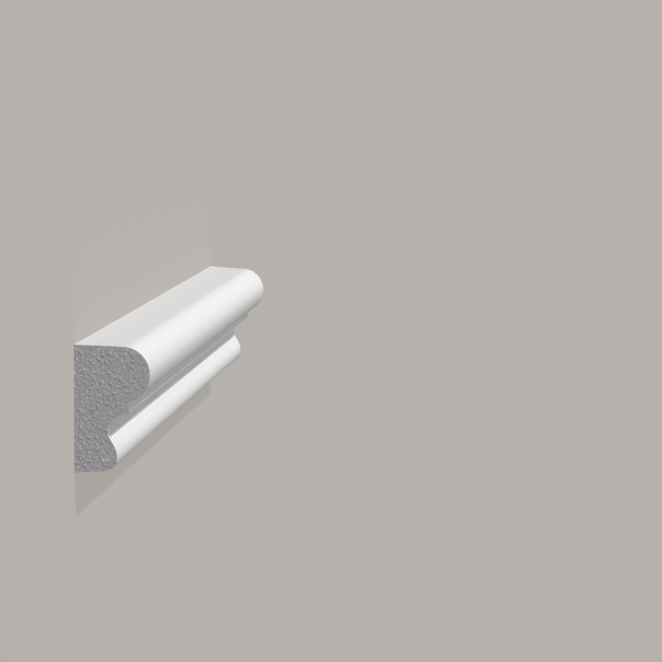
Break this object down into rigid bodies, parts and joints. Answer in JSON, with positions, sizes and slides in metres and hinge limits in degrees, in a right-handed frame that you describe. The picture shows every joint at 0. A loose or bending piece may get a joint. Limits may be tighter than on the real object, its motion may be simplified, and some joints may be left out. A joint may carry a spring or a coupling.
{
  "type": "wall moulding",
  "caption": "White foam wall moulding with a flat back and a torus, fillet, cove and bead face, a square-sawn end and an end mitred for an inside corner.",
  "frame": {"origin": "centre of the flat back, the face that is glued to the wall, on which the moulding lies", "axes": "+X along the length from the square end to the mitred end, +Y up the wall towards the torus edge, +Z out of the wall"},
  "size_m": [0.75, 0.04, 0.0236],
  "materials": {
    "primed_foam": "satin white primer over light grey foam"
  },
  "bodies": {
    "root": {"wall_moulding": "primed_foam"}
  },
  "joints": []
}
